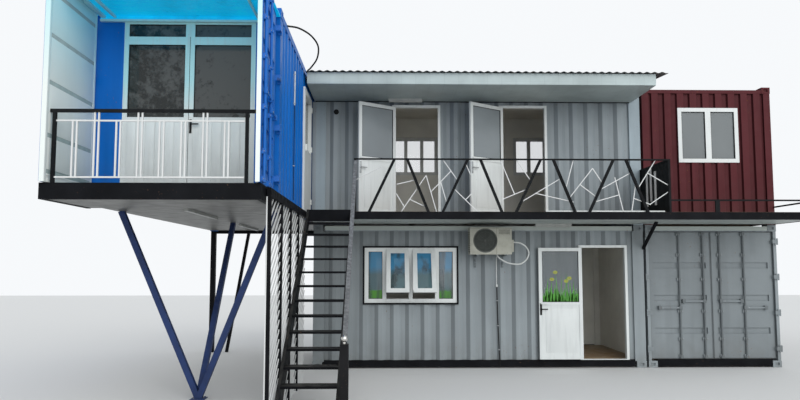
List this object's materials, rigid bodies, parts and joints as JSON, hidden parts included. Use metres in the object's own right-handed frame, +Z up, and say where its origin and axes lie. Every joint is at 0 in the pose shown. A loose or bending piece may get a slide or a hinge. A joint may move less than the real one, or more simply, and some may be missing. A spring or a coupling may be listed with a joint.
{
  "type": "shipping container cabin",
  "caption": "Two storey cabin of stacked shipping containers with a railed deck, outside stair, balcony, glazed doors and porch roof.",
  "frame": {"origin": "middle of the whole footprint at ground level", "axes": "+X to the right along the long front, +Y into the building's depth, +Z up"},
  "size_m": [11.042, 10.9498, 5.2389],
  "materials": {
    "ac_casing": "off-white casing",
    "black_paint": "satin black enamel",
    "blue_paint": "semi-gloss blue container paint",
    "bright_steel": "polished",
    "ceiling_panel": "light grey panel",
    "cyan_sheet": "translucent cyan sheet",
    "fascia_paint": "grey-green coated sheet",
    "floor_board": "sealed plywood",
    "glass": "clear float glass",
    "grey_paint": "semi-gloss grey container paint",
    "lamp_white": "white diffuser",
    "navy_paint": "satin navy enamel",
    "red_paint": "semi-gloss maroon container paint",
    "roof_sheet": "dark coated roofing sheet",
    "rubber_black": "matt",
    "white_bar": "white enamel",
    "white_frame": "white coated aluminium"
  },
  "bodies": {
    "cabin": {"ac_unit": "ac_casing", "awning_fascia": "fascia_paint", "awning_purlins": "black_paint", "awning_sheet": "roof_sheet", "balcony_bars": "white_bar", "balcony_floor": "black_paint", "balcony_glazed_doors": "white_frame", "balcony_railing": "black_paint", "balcony_roof": "cyan_sheet", "base_rails": "black_paint", "blue_container_doors": "blue_paint", "blue_corner_posts": "blue_paint", "blue_front_panel": "blue_paint", "blue_rails": "blue_paint", "blue_roof": "blue_paint", "blue_underside": "ceiling_panel", "blue_walls": "blue_paint", "deck_boards": "floor_board", "deck_frame": "black_paint", "deck_railing": "black_paint", "deck_soffit": "ceiling_panel", "door_frames": "white_frame", "door_heads": "grey_paint", "floors": "floor_board", "glass_panes": "glass", "grey_rails": "grey_paint", "grey_roofs": "grey_paint", "hinge_lugs": "grey_paint", "low_rail": "black_paint", "lower_corner_posts": "grey_paint", "lower_walls": "grey_paint", "newel_ball": "bright_steel", "packing_plates": "black_paint", "railing_white_bars": "white_bar", "rear_supports": "black_paint", "red_corner_posts": "red_paint", "red_rails": "red_paint", "red_roof": "red_paint", "red_walls": "red_paint", "side_door": "white_frame", "stair_railing": "black_paint", "stair_screen": "black_paint", "stair_stringers": "black_paint", "stair_treads": "black_paint", "support_struts": "navy_paint", "tube_lights": "lamp_white", "upper_corner_posts": "grey_paint", "upper_doors": "white_frame", "upper_walls": "grey_paint", "wall_brackets": "black_paint", "wall_vent": "rubber_black", "window_frames": "white_frame", "window_trim": "black_paint"},
    "entrance_leaf": {"entrance_door": "white_frame", "entrance_door_glass": "glass"},
    "container_leaf_left": {"container_door_left": "grey_paint"},
    "container_leaf_right": {"container_door_right": "grey_paint"}
  },
  "joints": [
    {"name": "entrance_hinge", "type": "hinge", "parent": "cabin", "child": "entrance_leaf", "pos_m": [1.861, -0.656, 1.2], "axis": [0, 0, 1], "range_deg": [0, 180]},
    {"name": "container_left_hinge", "type": "hinge", "parent": "cabin", "child": "container_leaf_left", "pos_m": [3.057, -0.633, 1.2], "axis": [0, 0, -1], "range_deg": [0, 90]},
    {"name": "container_right_hinge", "type": "hinge", "parent": "cabin", "child": "container_leaf_right", "pos_m": [5.511, -0.633, 1.2], "axis": [0, 0, 1], "range_deg": [0, 260]}
  ]
}
